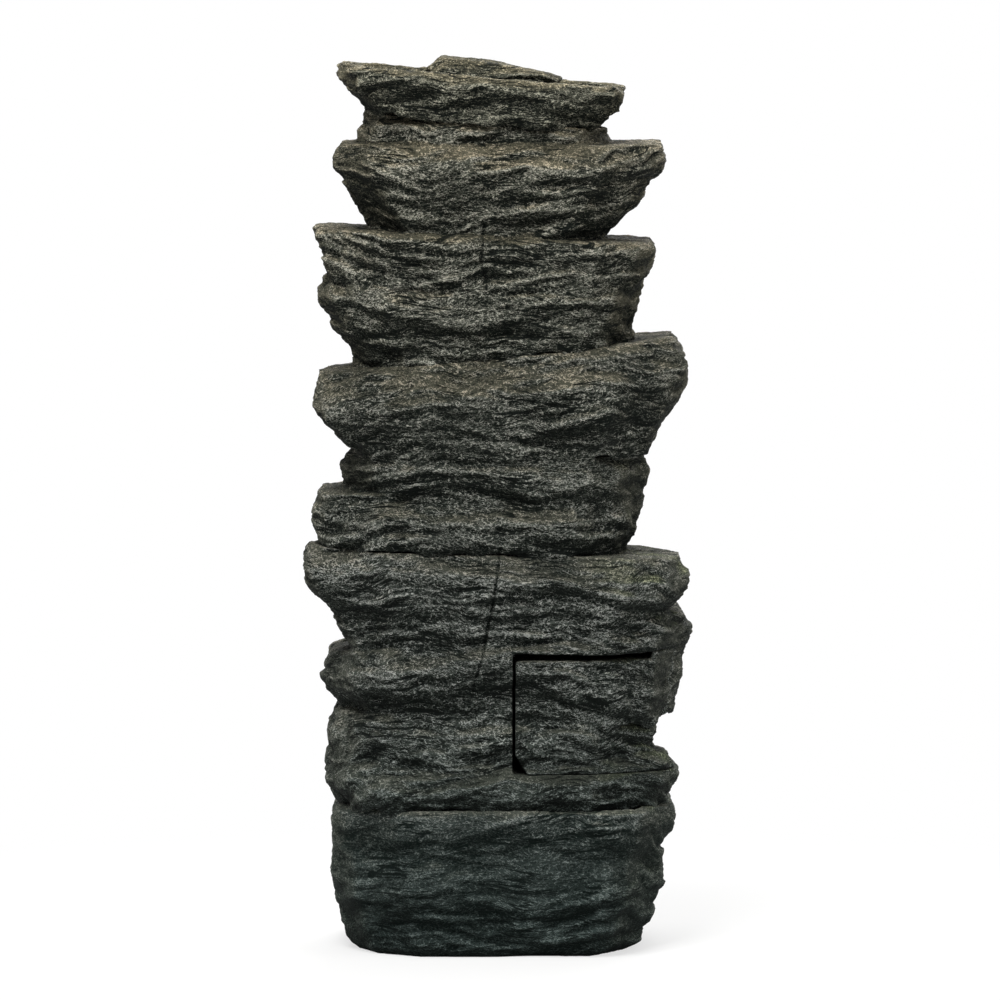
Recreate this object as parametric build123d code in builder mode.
"""Garden fountain: a hollow tower of cast resin shaped like stacked slate, with a pump in its base.

Millimetres, +Z up. The origin is the centre of the flat foot. The rear face, with the access
hatch, looks along -Y, and the water runs down the ledges on the +Y side into the front pool.
"""

import os
from dataclasses import dataclass
from functools import cache
from math import cos, radians, sin

from build123d import *

os.makedirs("parts", exist_ok=True)

# Cast walls
WALL = 8.0
BASE_WALL = 16.0
FOOT_CHAMFER = 8.0
FLOOR = 12.0
RIM = 11.0
POOL_DEPTH = 16.0
FLOW_SLOT_WIDTH = 60.0
FLOW_SLOT_HEIGHT = 16.0
FLOW_SLOT_SPACING = 130.0
BOWL_RIM = 16.0
BOWL_DEPTH = 20.0
CHIMNEY_OVERLAP = 45.0

# Planes that divide the tower: rear castings, front castings, ledges
PARTING_Y = -30.0
FACE_Y = 45.0

# How every bed is hewn
BED_ROUNDNESS = 1.45
REAR_LEAN = 13.0
FRONT_LEAN = 14.0
LEDGE_LEAN = 38.0
SHOULDER_LEAN = 17.0
REAR_SHOULDER_LEAN = 36.0
FACET_SWING = 5.0
SWING_PHASE = 2.4
CORNER_CHIP = 0.035
CHIP_PHASE = 1.7
FACET_BEARINGS = (0, 28, 58, 90, 122, 152, 180, 205, 232, 270, 308, 335)
BLOCK_SIDE = 700.0

# Access hatch in the right rear corner
HATCH_LEFT = 20.0
HATCH_SILL_DROP = 18.0
HATCH_HEIGHT = 130.0
HATCH_SEAT_Y = -60.0
HATCH_SIDE_GAP = 3.5
HATCH_SILL_GAP = 0.4
HATCH_SEAT_GAP = 0.4
FINGER_GAP = 8.0
FINGER_GAP_END = 178.0
HATCH_STOP_LIP = 9.0
HATCH_STOP_THICKNESS = 8.0
HATCH_STOP_RIGHT = 152.0
CABLE_NOTCH_WIDTH = 14.0
CABLE_NOTCH_HEIGHT = 21.0

# Pouring lips cut in the rims
LIP_WIDTH = 84.0
LIP_DEPTH = 10.0
BOWL_LIP_X = 24.0

# Loose slab on short feet over the hose outlet
CAP_LENGTH = 160.0
CAP_WIDTH = 92.0
CAP_THICKNESS = 23.0
CAP_STAND = 13.0
CAP_X = -6.0
CAP_Y = -24.0
CAP_DRAFT = 22.0
CAP_SLOPE = 8.0
CAP_SIDES = 9
CAP_FOOT_RADIUS = 9.0
CAP_FOOT_SPACING_X = 96.0
CAP_FOOT_SPACING_Y = 44.0

# Pump, standing on suction cups on the floor of the base
PUMP_X = -48.0
PUMP_Y = -30.0
PUMP_WIDTH = 58.0
PUMP_LENGTH = 50.0
PUMP_HEIGHT = 52.0
PUMP_CORNER = 8.0
HEX_SIDES = 6
GROOVE_DEPTH = 1.6
GROOVE_WIDTH = 2.4
GROOVE_PITCH = 7.0
GROOVE_COUNT = 5
FIT_CLEARANCE = 0.05
CUP_HEIGHT = 9.0
CUP_RADIUS = 10.0
CUP_NECK_RADIUS = 5.0
CUP_LIP = 1.2
CUP_HOLLOW = 4.0
CUP_STEM_RADIUS = 3.0
CUP_STEM_LENGTH = 5.0
CUP_SPACING_X = 36.0
CUP_SPACING_Y = 28.0
ROTOR_RADIUS = 9.0
ROTOR_LENGTH = 26.0
ROTOR_CLEARANCE = 1.0
SLEEVE_RADIUS = 4.0
SHAFT_RADIUS = 1.5
SHAFT_CLEARANCE = 0.05
BUSH_RADIUS = 3.4
BUSH_LENGTH = 4.0
IMPELLER_RADIUS = 16.0
IMPELLER_HUB_RADIUS = 5.0
IMPELLER_LIFT = 1.0
IMPELLER_BACKPLATE = 1.6
IMPELLER_BLADE_HEIGHT = 8.0
IMPELLER_BLADE_THICKNESS = 1.4
IMPELLER_BLADES = 6
SEAL_THICKNESS = 1.5
VOLUTE_WALL = 2.5
VOLUTE_CLEARANCE = 1.5
EYE_RADIUS = 11.0
BOSS_WALL = 1.6
SPIDER_ARMS = 3
SPIDER_WIDTH = 2.0
STRAINER_DEPTH = 24.0
STRAINER_WALL = 2.0
SLOT_WIDTH = 2.6
SLOT_LENGTH = 36.0
SLOT_PITCH = 5.0
SLOT_GROUP = 3
SLOT_GROUP_X = 19.5
DIAL_RADIUS = 10.0
DIAL_THICKNESS = 4.0
DIAL_GRIP_LENGTH = 16.0
DIAL_GRIP_WIDTH = 3.4
DIAL_GRIP_HEIGHT = 4.0
DIAL_PIN_RADIUS = 3.0
DIAL_PIN_TAIL = 1.5
DIAL_GAP = 0.3
GLAND_STEM_RADIUS = 5.0
GLAND_STEM_LENGTH = 6.0
GLAND_HEX = 15.0
GLAND_HEX_LENGTH = 6.0
GLAND_NECK_RADIUS = 6.2
GLAND_TIP_RADIUS = 4.6
GLAND_NECK_LENGTH = 12.0
GLAND_BORE = 3.2
GLAND_X = 16.0
GLAND_RISE = -12.0

# Hose from the pump to the outlet in the top bowl
HOSE_RADIUS = 8.0
HOSE_BORE = 6.2
HOSE_CLEARANCE = 0.1
HOSE_FOOT_GAP = 2.0
HOSE_BEND = 420.0
HOSE_MID_X = -58.0
HOSE_MID_Y = -38.0
HOSE_HIGH_X = -36.0
HOSE_HIGH_Y = -42.0
HOSE_TOP_RUN = 100.0
NOZZLE_OFFSET = 8.0
NOZZLE_BORE = 4.6
NOZZLE_HEIGHT = 24.0
NOZZLE_GAP = 0.4
CLIP_WIDTH = 9.0
CLIP_THICKNESS = 1.2
CLIP_CLEARANCE = 0.1
CLIP_SETBACK = 5.0
CLIP_EAR_LENGTH = 6.0
CLIP_EAR_GAP = 3.0
OUTLET_X = -12.0
OUTLET_Y = -18.0
OUTLET_FLANGE_RADIUS = 15.0
OUTLET_FLANGE_THICKNESS = 4.0
OUTLET_THREAD_RADIUS = 10.0
OUTLET_THREAD_END = 3.0
OUTLET_BORE_CLEARANCE = 0.3
OUTLET_TAIL = 26.0
NUT_SIZE = 30.0
NUT_THICKNESS = 8.0
WASHER_RADIUS = 16.0
WASHER_THICKNESS = 2.5


@dataclass(frozen=True)
class Bed:
    """One slate bed: what it lies on, how far its top rises above that, and its reach each way."""

    on: "Bed | None"
    rise: float
    lap: float
    left: float
    right: float
    rear: float
    front: float
    brow: float
    lean_left: float
    lean_right: float
    dip: float = 0.0
    turn: float = 0.0
    shoulder: float = SHOULDER_LEAN
    rear_shoulder: float = REAR_SHOULDER_LEAN
    lean_front: float = FRONT_LEAN

    @property
    def top(self):
        """Height of the top face on the tower's axis."""
        return self.rise + (self.on.top if self.on else 0.0)

    @property
    def thick(self):
        """Thickness square to the top face, with the part that is sunk into the bed below."""
        return (self.rise + self.lap) * cos(radians(self.dip))

    @property
    def plane(self):
        """Plane of the top face; a positive dip lifts the +X end."""
        slope = radians(self.dip)
        return Plane((0, 0, self.top), x_dir=(cos(slope), 0, sin(slope)), z_dir=(-sin(slope), 0, cos(slope)))


TOP_DIP = -4.9
FOOT_BED = Bed(on=None, rise=112, lap=0, left=189, right=188, rear=164, front=176, brow=40,
               lean_left=18, lean_right=21, turn=2.2, shoulder=3.0, rear_shoulder=10.0, lean_front=22.0)
BASE_BED = Bed(on=FOOT_BED, rise=56, lap=16, left=189, right=201, rear=163, front=174, brow=18,
               lean_left=7, lean_right=22, turn=5.0, shoulder=8.0, rear_shoulder=12.0)
SKIRT_BED = Bed(on=BASE_BED, rise=58, lap=0, left=203, right=204, rear=160, front=52, brow=30,
                lean_left=34, lean_right=20, turn=0.1)
SILL_BED = Bed(on=SKIRT_BED, rise=49, lap=26, left=192, right=178, rear=152, front=50, brow=23,
               lean_left=10, lean_right=12, turn=3.7)
FIFTH_BED = Bed(on=SILL_BED, rise=88, lap=30, left=204, right=218, rear=158, front=158, brow=26,
                lean_left=24, lean_right=21, dip=6.8, turn=5.7, lean_front=LEDGE_LEAN)
LOWER_BED = Bed(on=FIFTH_BED, rise=95, lap=27, left=220, right=217, rear=162, front=52, brow=28,
                lean_left=34, lean_right=35, dip=-1.6, turn=1.4)
FOURTH_BED = Bed(on=LOWER_BED, rise=67, lap=8, left=209, right=150, rear=154, front=144, brow=30,
                 lean_left=16, lean_right=10, turn=4.0, lean_front=LEDGE_LEAN)
WAIST_BED = Bed(on=FOURTH_BED, rise=50, lap=75, left=176, right=170, rear=150, front=52, brow=23,
                lean_left=13, lean_right=12, turn=2.6)
THIRD_BED = Bed(on=WAIST_BED, rise=106, lap=18, left=214, right=214, rear=162, front=132, brow=45,
                lean_left=46, lean_right=34, dip=5.7, turn=0.9, lean_front=LEDGE_LEAN)
SECOND_FOOT_BED = Bed(on=THIRD_BED, rise=89, lap=23, left=204, right=165, rear=148, front=52, brow=24,
                      lean_left=29, lean_right=17, turn=5.2)
SECOND_BED = Bed(on=SECOND_FOOT_BED, rise=46, lap=10, left=210, right=183, rear=154, front=114, brow=10,
                 lean_left=30, lean_right=32, dip=-2.4, turn=4.4, lean_front=LEDGE_LEAN)
UPPER_BED = Bed(on=SECOND_BED, rise=104, lap=8, left=185, right=194, rear=152, front=98, brow=24,
                lean_left=33, lean_right=44, turn=3.1, lean_front=LEDGE_LEAN)
NECK_BED = Bed(on=UPPER_BED, rise=28, lap=18, left=157, right=124, rear=132, front=54, brow=14,
               lean_left=12, lean_right=20, dip=TOP_DIP, turn=1.9)
TOP_BED = Bed(on=NECK_BED, rise=48, lap=0, left=182, right=148, rear=146, front=68, brow=10,
              lean_left=41, lean_right=42, dip=TOP_DIP, turn=0.4, lean_front=LEDGE_LEAN)

TOWER_BEDS = (SKIRT_BED, SILL_BED, FIFTH_BED, LOWER_BED, FOURTH_BED, WAIST_BED, THIRD_BED,
              SECOND_FOOT_BED, SECOND_BED, UPPER_BED, NECK_BED)

# Beds that run out in front as ledges, with the place of each pouring lip
LEDGES = {
    "upper_ledge": (UPPER_BED, -62.0),
    "second_ledge": (SECOND_BED, 58.0),
    "third_ledge": (THIRD_BED, -74.0),
    "fourth_ledge": (FOURTH_BED, -20.0),
    "fifth_ledge": (FIFTH_BED, 66.0),
}
LEDGE_BEDS = [bed for bed, lip_x in LEDGES.values()]
PLAIN_BEDS = [bed for bed in TOWER_BEDS if bed not in LEDGE_BEDS]

FACE_PLANE = Plane((0, FACE_Y, 0), z_dir=(0, 1, 0))
PARTING_PLANE = Plane((0, PARTING_Y, 0), z_dir=(0, 1, 0))

# The tower is cast in three stages that stack on the tops of two beds
STAGES = {"lower": (None, LOWER_BED.plane), "middle": (LOWER_BED.plane, THIRD_BED.plane),
          "upper": (THIRD_BED.plane, None)}
HALVES = {"rear": Keep.BOTTOM, "front": Keep.TOP}
LOW_CORNER = (Align.MIN, Align.MIN, Align.MIN)


def toward(bearing, right, front, left, rear):
    """Share of four values, one for each side, that falls to a bearing in degrees."""
    across, along = cos(radians(bearing)), sin(radians(bearing))
    return (right if across > 0 else left) * across**2 + (front if along > 0 else rear) * along**2


def brow_reach(bed, bearing):
    """Distance of a bed's brow facet from the tower's axis."""
    across = (bed.right if cos(radians(bearing)) > 0 else bed.left) * abs(cos(radians(bearing)))
    along = (bed.front if sin(radians(bearing)) > 0 else bed.rear) * abs(sin(radians(bearing)))
    return (across**BED_ROUNDNESS + along**BED_ROUNDNESS) ** (1 / BED_ROUNDNESS)


def facet(bed, bearing, reach, lean, inset):
    """Plane of one hewn facet through the brow; a positive lean undercuts the bed."""
    turn, tilt = radians(bearing), radians(lean)
    outward = Vector(cos(turn) * cos(tilt), sin(turn) * cos(tilt), -sin(tilt))
    brow = Vector(cos(turn) * reach, sin(turn) * reach, -bed.brow)
    return Plane(bed.plane.location * Plane(origin=brow - outward * inset, z_dir=outward).location)


@cache
def hewn_bed(bed, inset=0.0, lid=0.0, below=0.0):
    """A bed split to shape from a block, or its hollow: inset walls, a lid and room below the foot."""
    with BuildPart(bed.plane.offset(-lid)) as block:
        Box(BLOCK_SIDE, BLOCK_SIDE, bed.thick - lid + below, align=(Align.CENTER, Align.CENTER, Align.MAX))
        for number, bearing in enumerate(FACET_BEARINGS):
            loose = 0.0 if bearing % 90 == 0 else 1.0
            swung = bearing + loose * FACET_SWING * sin(SWING_PHASE * number + bed.turn)
            chip = loose * CORNER_CHIP * sin(CHIP_PHASE * number + 2 * bed.turn)
            reach = brow_reach(bed, swung) * (1 + chip)
            lean = toward(swung, bed.lean_right, bed.lean_front, bed.lean_left, REAR_LEAN)
            split(bisect_by=facet(bed, swung, reach, lean, inset), keep=Keep.BOTTOM)
            shoulder = toward(swung, bed.shoulder, bed.shoulder, bed.shoulder, bed.rear_shoulder)
            split(bisect_by=facet(bed, swung, reach, -shoulder, inset), keep=Keep.BOTTOM)
    return block.part


def ledge_root(bed):
    """The part of a ledge bed that belongs to the tower, behind the face plane."""
    with BuildPart() as root:
        add(hewn_bed(bed))
        split(bisect_by=FACE_PLANE, keep=Keep.BOTTOM)
    return root.part


def throat(lower, upper):
    """The way from one bed's hollow up into the next, inside the walls of both."""
    with BuildPart() as way:
        add(hewn_bed(upper, inset=WALL, lid=lids[upper], below=CHIMNEY_OVERLAP))
        add(hewn_bed(lower, inset=WALL, lid=-CHIMNEY_OVERLAP), mode=Mode.INTERSECT)
    return way.part


def top_outline(part, bed):
    """The face of a part that lies highest across a bed, in the bed's own plane."""
    return bed.plane.to_local_coords(part.faces().sort_by(Axis(bed.plane.origin, bed.plane.z_dir))[-1])


def write(part, name):
    """Label one finished piece and write it to its own file."""
    part.label = name
    export_step(part, f"parts/{name}.step")


# The tower as one rock, and the chamber inside it
rock_beds = [ledge_root(bed) if bed in LEDGE_BEDS else hewn_bed(bed) for bed in TOWER_BEDS]
lids = {bed: -CHIMNEY_OVERLAP if bed is NECK_BED else POOL_DEPTH + WALL for bed in TOWER_BEDS}
hollow_beds = [hewn_bed(bed, inset=WALL, lid=lids[bed]) for bed in TOWER_BEDS]
throats = [throat(lower, upper) for lower, upper in zip(TOWER_BEDS, TOWER_BEDS[1:])]

with BuildPart() as rock:
    add(rock_beds)

with BuildPart() as hollow:
    add(hollow_beds + throats)
    split(bisect_by=FACE_PLANE.offset(-WALL), keep=Keep.BOTTOM)

# Walls of the tower, with the opening for the hatch in the right rear corner
hatch_bottom = SKIRT_BED.top - HATCH_SILL_DROP
opening_left = HATCH_LEFT - HATCH_SIDE_GAP
opening_bottom = hatch_bottom - HATCH_SILL_GAP
opening_height = HATCH_SILL_GAP + HATCH_HEIGHT + FINGER_GAP
opening_reach = HATCH_SEAT_Y + BLOCK_SIDE

with BuildPart() as tower_wall:
    add(rock.part)
    add(hollow.part, mode=Mode.SUBTRACT)
    with Locations((opening_left, -BLOCK_SIDE, opening_bottom)):
        Box(BLOCK_SIDE, opening_reach, opening_height, align=LOW_CORNER, mode=Mode.SUBTRACT)

for half, side in HALVES.items():
    with BuildPart() as half_wall:
        add(tower_wall.part)
        split(bisect_by=PARTING_PLANE, keep=side)
    for stage, (foot_plane, head_plane) in STAGES.items():
        with BuildPart() as shell:
            add(half_wall.part)
            if foot_plane:
                split(bisect_by=foot_plane, keep=Keep.TOP)
            if head_plane:
                split(bisect_by=head_plane, keep=Keep.BOTTOM)
        write(shell.part, f"{stage}_{half}_shell")

# Frame behind the opening: walls round the hatch, and a stop with a reach hole and a way for the cable
with BuildPart() as hatch_frame:
    add(hollow.part)
    with Locations((opening_left - WALL, -BLOCK_SIDE, opening_bottom - WALL)):
        Box(BLOCK_SIDE, opening_reach + HATCH_STOP_THICKNESS, opening_height + 2 * WALL,
            align=LOW_CORNER, mode=Mode.INTERSECT)
    with Locations((opening_left, -BLOCK_SIDE, opening_bottom)):
        Box(BLOCK_SIDE, opening_reach, opening_height, align=LOW_CORNER, mode=Mode.SUBTRACT)
    with Locations((HATCH_LEFT + HATCH_STOP_LIP, HATCH_SEAT_Y, hatch_bottom + HATCH_STOP_LIP)):
        Box(HATCH_STOP_RIGHT - HATCH_LEFT - HATCH_STOP_LIP, HATCH_STOP_THICKNESS,
            HATCH_HEIGHT - 2 * HATCH_STOP_LIP, align=LOW_CORNER, mode=Mode.SUBTRACT)
    with Locations((opening_left, HATCH_SEAT_Y, opening_bottom)):
        Box(HATCH_SIDE_GAP + CABLE_NOTCH_WIDTH, HATCH_STOP_THICKNESS, HATCH_SILL_GAP + CABLE_NOTCH_HEIGHT,
            align=LOW_CORNER, mode=Mode.SUBTRACT)
write(hatch_frame.part, "hatch_frame")

# Access hatch: the corner block itself, hollowed from inside
with BuildPart() as hatch_pocket:
    add(hollow.part)
    with Locations((HATCH_LEFT + WALL, -BLOCK_SIDE, hatch_bottom + WALL)):
        Box(BLOCK_SIDE, BLOCK_SIDE, HATCH_HEIGHT - 2 * WALL, align=LOW_CORNER, mode=Mode.INTERSECT)

with BuildPart() as access_hatch:
    add(rock.part)
    with Locations((HATCH_LEFT, -BLOCK_SIDE, hatch_bottom)):
        Box(BLOCK_SIDE, opening_reach - HATCH_SEAT_GAP, HATCH_HEIGHT + FINGER_GAP - HATCH_SILL_GAP,
            align=LOW_CORNER, mode=Mode.INTERSECT)
    with Locations((HATCH_LEFT, -BLOCK_SIDE, hatch_bottom + HATCH_HEIGHT)):
        Box(FINGER_GAP_END - HATCH_LEFT, BLOCK_SIDE, FINGER_GAP, align=LOW_CORNER, mode=Mode.SUBTRACT)
    with BuildSketch(Plane((HATCH_LEFT, 0, hatch_bottom), x_dir=(1, 0, 0), z_dir=(0, -1, 0))):
        Polygon((0, 0), (CABLE_NOTCH_WIDTH, 0), (0, CABLE_NOTCH_HEIGHT), align=None)
    extrude(amount=BLOCK_SIDE, mode=Mode.SUBTRACT)
    add(hatch_pocket.part, mode=Mode.SUBTRACT)
write(access_hatch.part, "access_hatch")

# Ledges, each with its pool and a pouring lip
plain_rock = [hewn_bed(bed) for bed in PLAIN_BEDS]
for name, (bed, lip_x) in LEDGES.items():
    whole_bed = hewn_bed(bed)
    with BuildPart() as ledge:
        add(whole_bed)
        split(bisect_by=FACE_PLANE, keep=Keep.TOP)
        with BuildSketch(bed.plane):
            add(top_outline(ledge.part, bed))
            offset(amount=-RIM, kind=Kind.INTERSECTION)
        extrude(amount=-POOL_DEPTH, mode=Mode.SUBTRACT)
        with BuildSketch(bed.plane):
            with Locations((lip_x, FACE_Y + RIM)):
                Rectangle(LIP_WIDTH, BLOCK_SIDE, align=(Align.CENTER, Align.MIN))
        extrude(amount=-LIP_DEPTH, mode=Mode.SUBTRACT)
        add(plain_rock, mode=Mode.SUBTRACT)
    write(ledge.part, name)

# Base: an open basin of two beds, parted below the tower's face into the front pool and the pump chamber
with BuildPart() as base_tub:
    add([hewn_bed(FOOT_BED, inset=BASE_WALL), hewn_bed(BASE_BED, inset=BASE_WALL)])
    split(bisect_by=Plane.XY.offset(FLOOR), keep=Keep.TOP)

with BuildPart() as partition:
    add(base_tub.part)
    with Locations((0, FACE_Y, 0)):
        Box(BLOCK_SIDE, WALL, BLOCK_SIDE, align=(Align.CENTER, Align.MAX, Align.MIN), mode=Mode.INTERSECT)
    with Locations((0, FACE_Y, FLOOR)):
        with GridLocations(FLOW_SLOT_SPACING, 0, 2, 1):
            Box(FLOW_SLOT_WIDTH, WALL, FLOW_SLOT_HEIGHT, align=(Align.CENTER, Align.MAX, Align.MIN),
                mode=Mode.SUBTRACT)

with BuildPart() as base_basin:
    add([hewn_bed(FOOT_BED), hewn_bed(BASE_BED)])
    chamfer(base_basin.edges().group_by(Axis.Z)[0], length=FOOT_CHAMFER)
    add(base_tub.part, mode=Mode.SUBTRACT)
    add(partition.part)
write(base_basin.part, "base_basin")

# Top bowl and the slab over its outlet
outlet = Plane(TOP_BED.plane.location * Location((OUTLET_X, OUTLET_Y, 0)))
bowl_floor = outlet.offset(-BOWL_DEPTH)
bowl_underside = outlet.offset(-TOP_BED.thick)

bowl_rock = hewn_bed(TOP_BED)
with BuildPart() as top_bowl:
    add(bowl_rock)
    with BuildSketch(TOP_BED.plane):
        add(top_outline(top_bowl.part, TOP_BED))
        offset(amount=-BOWL_RIM, kind=Kind.INTERSECTION)
    extrude(amount=-BOWL_DEPTH, mode=Mode.SUBTRACT)
    with BuildSketch(TOP_BED.plane):
        with Locations((BOWL_LIP_X, 0)):
            Rectangle(LIP_WIDTH, BLOCK_SIDE, align=(Align.CENTER, Align.MIN))
    extrude(amount=-LIP_DEPTH, mode=Mode.SUBTRACT)
    with BuildSketch(bowl_floor):
        Circle(OUTLET_THREAD_RADIUS + OUTLET_BORE_CLEARANCE)
    extrude(amount=-TOP_BED.thick, mode=Mode.SUBTRACT)
write(top_bowl.part, "top_bowl")

cap_foot_plane = Plane(TOP_BED.plane.location * Location((CAP_X, CAP_Y, -BOWL_DEPTH)))
cap_crest = Plane((0, 0, CAP_STAND + CAP_THICKNESS),
                  z_dir=(sin(radians(CAP_SLOPE)), 0, cos(radians(CAP_SLOPE))))
cap_fall = Plane(cap_foot_plane.location * cap_crest.location)
with BuildPart() as cap_stone:
    with BuildSketch(cap_foot_plane.offset(CAP_STAND)):
        RegularPolygon(CAP_LENGTH / 2, CAP_SIDES)
        Rectangle(CAP_LENGTH, CAP_WIDTH, mode=Mode.INTERSECT)
    extrude(amount=CAP_THICKNESS, taper=CAP_DRAFT)
    split(bisect_by=cap_fall, keep=Keep.BOTTOM)
    with BuildSketch(cap_foot_plane):
        with GridLocations(CAP_FOOT_SPACING_X, CAP_FOOT_SPACING_Y, 2, 2):
            Circle(CAP_FOOT_RADIUS)
    extrude(amount=CAP_STAND)
write(cap_stone.part, "cap_stone")

# Pump: every piece stands on the intake plane, whose normal points to the rear
pump_foot = FLOOR + CUP_HEIGHT
axis_height = pump_foot + PUMP_HEIGHT / 2
intake = Plane((PUMP_X, PUMP_Y - PUMP_LENGTH / 2, axis_height), x_dir=(1, 0, 0), z_dir=(0, -1, 0))
pump_underside = Plane((PUMP_X, PUMP_Y, pump_foot))
gland_plane = Plane((PUMP_X + GLAND_X, PUMP_Y + PUMP_LENGTH / 2, axis_height + GLAND_RISE), z_dir=(0, 1, 0))
well_depth = ROTOR_LENGTH - IMPELLER_LIFT + ROTOR_CLEARANCE
blade_foot = IMPELLER_LIFT + IMPELLER_BACKPLATE
volute_front = blade_foot + IMPELLER_BLADE_HEIGHT + VOLUTE_CLEARANCE
volute_radius = IMPELLER_RADIUS + VOLUTE_CLEARANCE
volute_middle = (SEAL_THICKNESS + volute_front + VOLUTE_WALL) / 2
nozzle_radius = HOSE_BORE - HOSE_CLEARANCE
nozzle = Plane((PUMP_X + NOZZLE_OFFSET, intake.origin.Y - volute_middle, axis_height))

with BuildPart() as pump_housing:
    with BuildSketch(intake):
        RectangleRounded(PUMP_WIDTH, PUMP_HEIGHT, PUMP_CORNER)
    extrude(amount=-PUMP_LENGTH)
    for groove in range(GROOVE_COUNT):
        with BuildSketch(intake.offset(-(groove + 1) * GROOVE_PITCH)):
            Rectangle(PUMP_WIDTH, PUMP_HEIGHT)
            RectangleRounded(PUMP_WIDTH - 2 * GROOVE_DEPTH, PUMP_HEIGHT - 2 * GROOVE_DEPTH,
                             PUMP_CORNER - GROOVE_DEPTH, mode=Mode.SUBTRACT)
        extrude(amount=-GROOVE_WIDTH, mode=Mode.SUBTRACT)
    with BuildSketch(intake):
        Circle(ROTOR_RADIUS + ROTOR_CLEARANCE)
    extrude(amount=-well_depth, mode=Mode.SUBTRACT)
    with BuildSketch(intake.offset(-well_depth)):
        Circle(BUSH_RADIUS + FIT_CLEARANCE)
    extrude(amount=-BUSH_LENGTH, mode=Mode.SUBTRACT)
    with BuildSketch(pump_underside):
        with GridLocations(CUP_SPACING_X, CUP_SPACING_Y, 2, 2):
            Circle(CUP_STEM_RADIUS + FIT_CLEARANCE)
    extrude(amount=CUP_STEM_LENGTH, mode=Mode.SUBTRACT)
    with BuildSketch(gland_plane):
        Circle(GLAND_STEM_RADIUS + FIT_CLEARANCE)
    extrude(amount=-GLAND_STEM_LENGTH, mode=Mode.SUBTRACT)
write(pump_housing.part, "pump_housing")

with BuildPart() as suction_cup:
    with BuildSketch(Plane.XZ):
        with BuildLine():
            Polyline((0, CUP_HOLLOW), (CUP_RADIUS - CUP_LIP, 0), (CUP_RADIUS, 0), (CUP_NECK_RADIUS, CUP_HEIGHT),
                     (CUP_STEM_RADIUS, CUP_HEIGHT), (CUP_STEM_RADIUS, CUP_HEIGHT + CUP_STEM_LENGTH),
                     (0, CUP_HEIGHT + CUP_STEM_LENGTH), close=True)
        make_face()
    revolve(axis=Axis.Z)

with BuildPart(pump_underside.offset(-CUP_HEIGHT)) as suction_cups:
    with GridLocations(CUP_SPACING_X, CUP_SPACING_Y, 2, 2):
        add(suction_cup.part)
write(suction_cups.part, "suction_cups")

with BuildPart() as cable_gland:
    with BuildSketch(gland_plane):
        Circle(GLAND_STEM_RADIUS)
    extrude(amount=-GLAND_STEM_LENGTH)
    with BuildSketch(gland_plane):
        RegularPolygon(GLAND_HEX / 2, HEX_SIDES, major_radius=False)
    extrude(amount=GLAND_HEX_LENGTH)
    with BuildSketch(gland_plane.offset(GLAND_HEX_LENGTH)):
        Circle(GLAND_NECK_RADIUS)
    with BuildSketch(gland_plane.offset(GLAND_HEX_LENGTH + GLAND_NECK_LENGTH)):
        Circle(GLAND_TIP_RADIUS)
    loft()
    with BuildSketch(gland_plane.offset(-GLAND_STEM_LENGTH)):
        Circle(GLAND_BORE)
    extrude(amount=GLAND_STEM_LENGTH + GLAND_HEX_LENGTH + GLAND_NECK_LENGTH, mode=Mode.SUBTRACT)
write(cable_gland.part, "cable_gland")

with BuildPart() as impeller:
    with BuildSketch(intake.offset(IMPELLER_LIFT)):
        Circle(SLEEVE_RADIUS)
    extrude(amount=-ROTOR_LENGTH)
    with BuildSketch(intake.offset(IMPELLER_LIFT)):
        Circle(IMPELLER_RADIUS)
    extrude(amount=IMPELLER_BACKPLATE)
    with BuildSketch(intake.offset(blade_foot)):
        with PolarLocations(IMPELLER_RADIUS / 2, IMPELLER_BLADES):
            Rectangle(IMPELLER_RADIUS, IMPELLER_BLADE_THICKNESS)
        Circle(IMPELLER_RADIUS, mode=Mode.INTERSECT)
        Circle(IMPELLER_HUB_RADIUS)
    extrude(amount=IMPELLER_BLADE_HEIGHT)
    with BuildSketch(intake.offset(IMPELLER_LIFT - ROTOR_LENGTH)):
        Circle(SHAFT_RADIUS + SHAFT_CLEARANCE)
    extrude(amount=ROTOR_LENGTH + IMPELLER_BACKPLATE + IMPELLER_BLADE_HEIGHT, mode=Mode.SUBTRACT)
write(impeller.part, "impeller")

with BuildPart() as rotor_magnet:
    with BuildSketch(intake.offset(IMPELLER_LIFT)):
        Circle(ROTOR_RADIUS)
        Circle(SLEEVE_RADIUS + FIT_CLEARANCE, mode=Mode.SUBTRACT)
    extrude(amount=-ROTOR_LENGTH)
write(rotor_magnet.part, "rotor_magnet")

with BuildPart() as impeller_shaft:
    with BuildSketch(intake.offset(-well_depth - BUSH_LENGTH)):
        Circle(SHAFT_RADIUS)
    extrude(amount=well_depth + volute_front + 2 * BUSH_LENGTH)
write(impeller_shaft.part, "impeller_shaft")

with BuildPart() as shaft_bushes:
    for bush_foot in (-well_depth - BUSH_LENGTH, volute_front):
        with BuildSketch(intake.offset(bush_foot)):
            Circle(BUSH_RADIUS)
            Circle(SHAFT_RADIUS + FIT_CLEARANCE, mode=Mode.SUBTRACT)
        extrude(amount=BUSH_LENGTH)
write(shaft_bushes.part, "shaft_bushes")

with BuildPart() as volute_seal:
    with BuildSketch(intake):
        Circle(volute_radius + VOLUTE_WALL)
        Circle(volute_radius, mode=Mode.SUBTRACT)
    extrude(amount=SEAL_THICKNESS)
write(volute_seal.part, "volute_seal")

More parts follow.
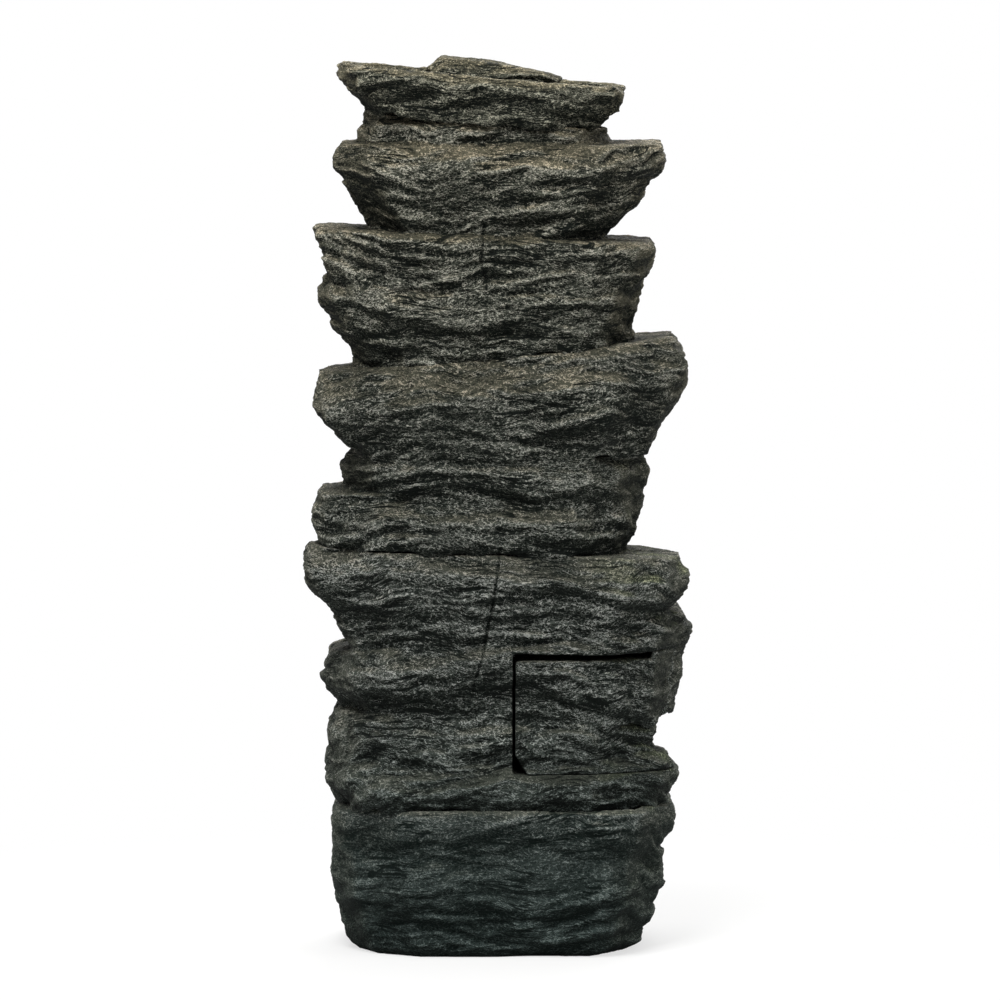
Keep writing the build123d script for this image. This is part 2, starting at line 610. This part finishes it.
with BuildPart() as pump_volute:
    with BuildSketch(intake.offset(SEAL_THICKNESS)):
        Circle(volute_radius + VOLUTE_WALL)
    extrude(amount=volute_front + VOLUTE_WALL - SEAL_THICKNESS)
    with BuildSketch(nozzle):
        Circle(nozzle_radius)
    extrude(amount=PUMP_HEIGHT / 2 + NOZZLE_HEIGHT)
    with BuildSketch(intake.offset(SEAL_THICKNESS)):
        Circle(volute_radius)
    extrude(amount=volute_front - SEAL_THICKNESS, mode=Mode.SUBTRACT)
    with BuildSketch(nozzle):
        Circle(NOZZLE_BORE)
    extrude(amount=PUMP_HEIGHT / 2 + NOZZLE_HEIGHT, mode=Mode.SUBTRACT)
    with BuildSketch(intake.offset(volute_front)):
        Circle(EYE_RADIUS)
        with PolarLocations(EYE_RADIUS / 2, SPIDER_ARMS):
            Rectangle(EYE_RADIUS + SPIDER_WIDTH, SPIDER_WIDTH, mode=Mode.SUBTRACT)
        Circle(BUSH_RADIUS + BOSS_WALL, mode=Mode.SUBTRACT)
    extrude(amount=VOLUTE_WALL, mode=Mode.SUBTRACT)
    with BuildSketch(intake.offset(volute_front)):
        Circle(BUSH_RADIUS + BOSS_WALL)
    extrude(amount=BUSH_LENGTH + BOSS_WALL)
    with BuildSketch(intake.offset(volute_front)):
        Circle(BUSH_RADIUS + FIT_CLEARANCE)
    extrude(amount=BUSH_LENGTH, mode=Mode.SUBTRACT)
write(pump_volute.part, "pump_volute")

with BuildPart() as intake_strainer:
    with BuildSketch(intake):
        RectangleRounded(PUMP_WIDTH, PUMP_HEIGHT, PUMP_CORNER)
    extrude(amount=STRAINER_DEPTH)
    with BuildSketch(intake):
        RectangleRounded(PUMP_WIDTH - 2 * STRAINER_WALL, PUMP_HEIGHT - 2 * STRAINER_WALL,
                         PUMP_CORNER - STRAINER_WALL)
    extrude(amount=STRAINER_DEPTH - STRAINER_WALL, mode=Mode.SUBTRACT)
    with BuildSketch(intake.offset(STRAINER_DEPTH)):
        with Locations((-SLOT_GROUP_X, 0), (SLOT_GROUP_X, 0)):
            with GridLocations(SLOT_PITCH, 0, SLOT_GROUP, 1):
                SlotOverall(SLOT_LENGTH, SLOT_WIDTH, rotation=90)
        Circle(DIAL_PIN_RADIUS + FIT_CLEARANCE)
    extrude(amount=-STRAINER_WALL, mode=Mode.SUBTRACT)
    with BuildSketch(nozzle):
        Circle(nozzle_radius + NOZZLE_GAP)
    extrude(amount=PUMP_HEIGHT, mode=Mode.SUBTRACT)
write(intake_strainer.part, "intake_strainer")

dial_seat = intake.offset(STRAINER_DEPTH + DIAL_GAP)
with BuildPart() as flow_dial:
    with BuildSketch(dial_seat):
        Circle(DIAL_RADIUS)
    extrude(amount=DIAL_THICKNESS)
    with BuildSketch(dial_seat.offset(DIAL_THICKNESS)):
        SlotOverall(DIAL_GRIP_LENGTH, DIAL_GRIP_WIDTH, rotation=90)
    extrude(amount=DIAL_GRIP_HEIGHT)
    with BuildSketch(dial_seat):
        Circle(DIAL_PIN_RADIUS)
    extrude(amount=-(DIAL_GAP + STRAINER_WALL + DIAL_PIN_TAIL))
write(flow_dial.part, "flow_dial")

# Outlet fitting, clamped through the floor of the bowl
thread_foot = TOP_BED.thick + WASHER_THICKNESS + NUT_THICKNESS + OUTLET_THREAD_END
with BuildPart() as outlet_fitting:
    with BuildSketch(bowl_floor):
        Circle(OUTLET_FLANGE_RADIUS)
    extrude(amount=OUTLET_FLANGE_THICKNESS)
    with BuildSketch(bowl_floor):
        Circle(OUTLET_THREAD_RADIUS)
    extrude(amount=BOWL_DEPTH - thread_foot)
    with BuildSketch(outlet.offset(-thread_foot)):
        Circle(nozzle_radius)
    extrude(amount=-OUTLET_TAIL)
    with BuildSketch(outlet.offset(-thread_foot - OUTLET_TAIL)):
        Circle(NOZZLE_BORE)
    extrude(amount=thread_foot + OUTLET_TAIL, mode=Mode.SUBTRACT)
write(outlet_fitting.part, "outlet_fitting")

with BuildPart() as outlet_washer:
    with BuildSketch(bowl_underside):
        Circle(WASHER_RADIUS)
        Circle(OUTLET_THREAD_RADIUS + FIT_CLEARANCE, mode=Mode.SUBTRACT)
    extrude(amount=-WASHER_THICKNESS)
write(outlet_washer.part, "outlet_washer")

with BuildPart() as outlet_nut:
    with BuildSketch(bowl_underside.offset(-WASHER_THICKNESS)):
        RegularPolygon(NUT_SIZE / 2, HEX_SIDES, major_radius=False)
        Circle(OUTLET_THREAD_RADIUS + FIT_CLEARANCE, mode=Mode.SUBTRACT)
    extrude(amount=-NUT_THICKNESS)
write(outlet_nut.part, "outlet_nut")

# Delivery hose, pushed over the pump's nozzle and the tail of the outlet, with a clip at each end
hose_foot = nozzle.offset(PUMP_HEIGHT / 2 + HOSE_FOOT_GAP)
hose_head = outlet.offset(-thread_foot - HOSE_FOOT_GAP)
hose_turn = hose_head.offset(-HOSE_TOP_RUN)
low_point = (hose_foot.origin.X, hose_foot.origin.Y, SILL_BED.top)
mid_point = (HOSE_MID_X, HOSE_MID_Y, LOWER_BED.top)
high_point = (HOSE_HIGH_X, HOSE_HIGH_Y, THIRD_BED.top)
with BuildPart() as delivery_hose:
    with BuildLine() as hose_path:
        FilletPolyline(hose_foot.origin, low_point, mid_point, high_point, hose_turn.origin,
                       hose_head.origin, radius=HOSE_BEND)
    with BuildSketch(hose_foot):
        Circle(HOSE_RADIUS)
        Circle(HOSE_BORE, mode=Mode.SUBTRACT)
    sweep(path=hose_path.line)
write(delivery_hose.part, "delivery_hose")

with BuildPart() as hose_clips:
    for clip_foot in (hose_foot.offset(CLIP_SETBACK), hose_head.offset(-CLIP_SETBACK - CLIP_WIDTH)):
        with BuildSketch(clip_foot):
            Circle(HOSE_RADIUS + CLIP_CLEARANCE + CLIP_THICKNESS)
            with Locations((HOSE_RADIUS, 0)):
                Rectangle(2 * CLIP_EAR_LENGTH, CLIP_EAR_GAP + 2 * CLIP_THICKNESS)
                Rectangle(2 * CLIP_EAR_LENGTH, CLIP_EAR_GAP, mode=Mode.SUBTRACT)
            Circle(HOSE_RADIUS + CLIP_CLEARANCE, mode=Mode.SUBTRACT)
        extrude(amount=CLIP_WIDTH)
write(hose_clips.part, "hose_clips")
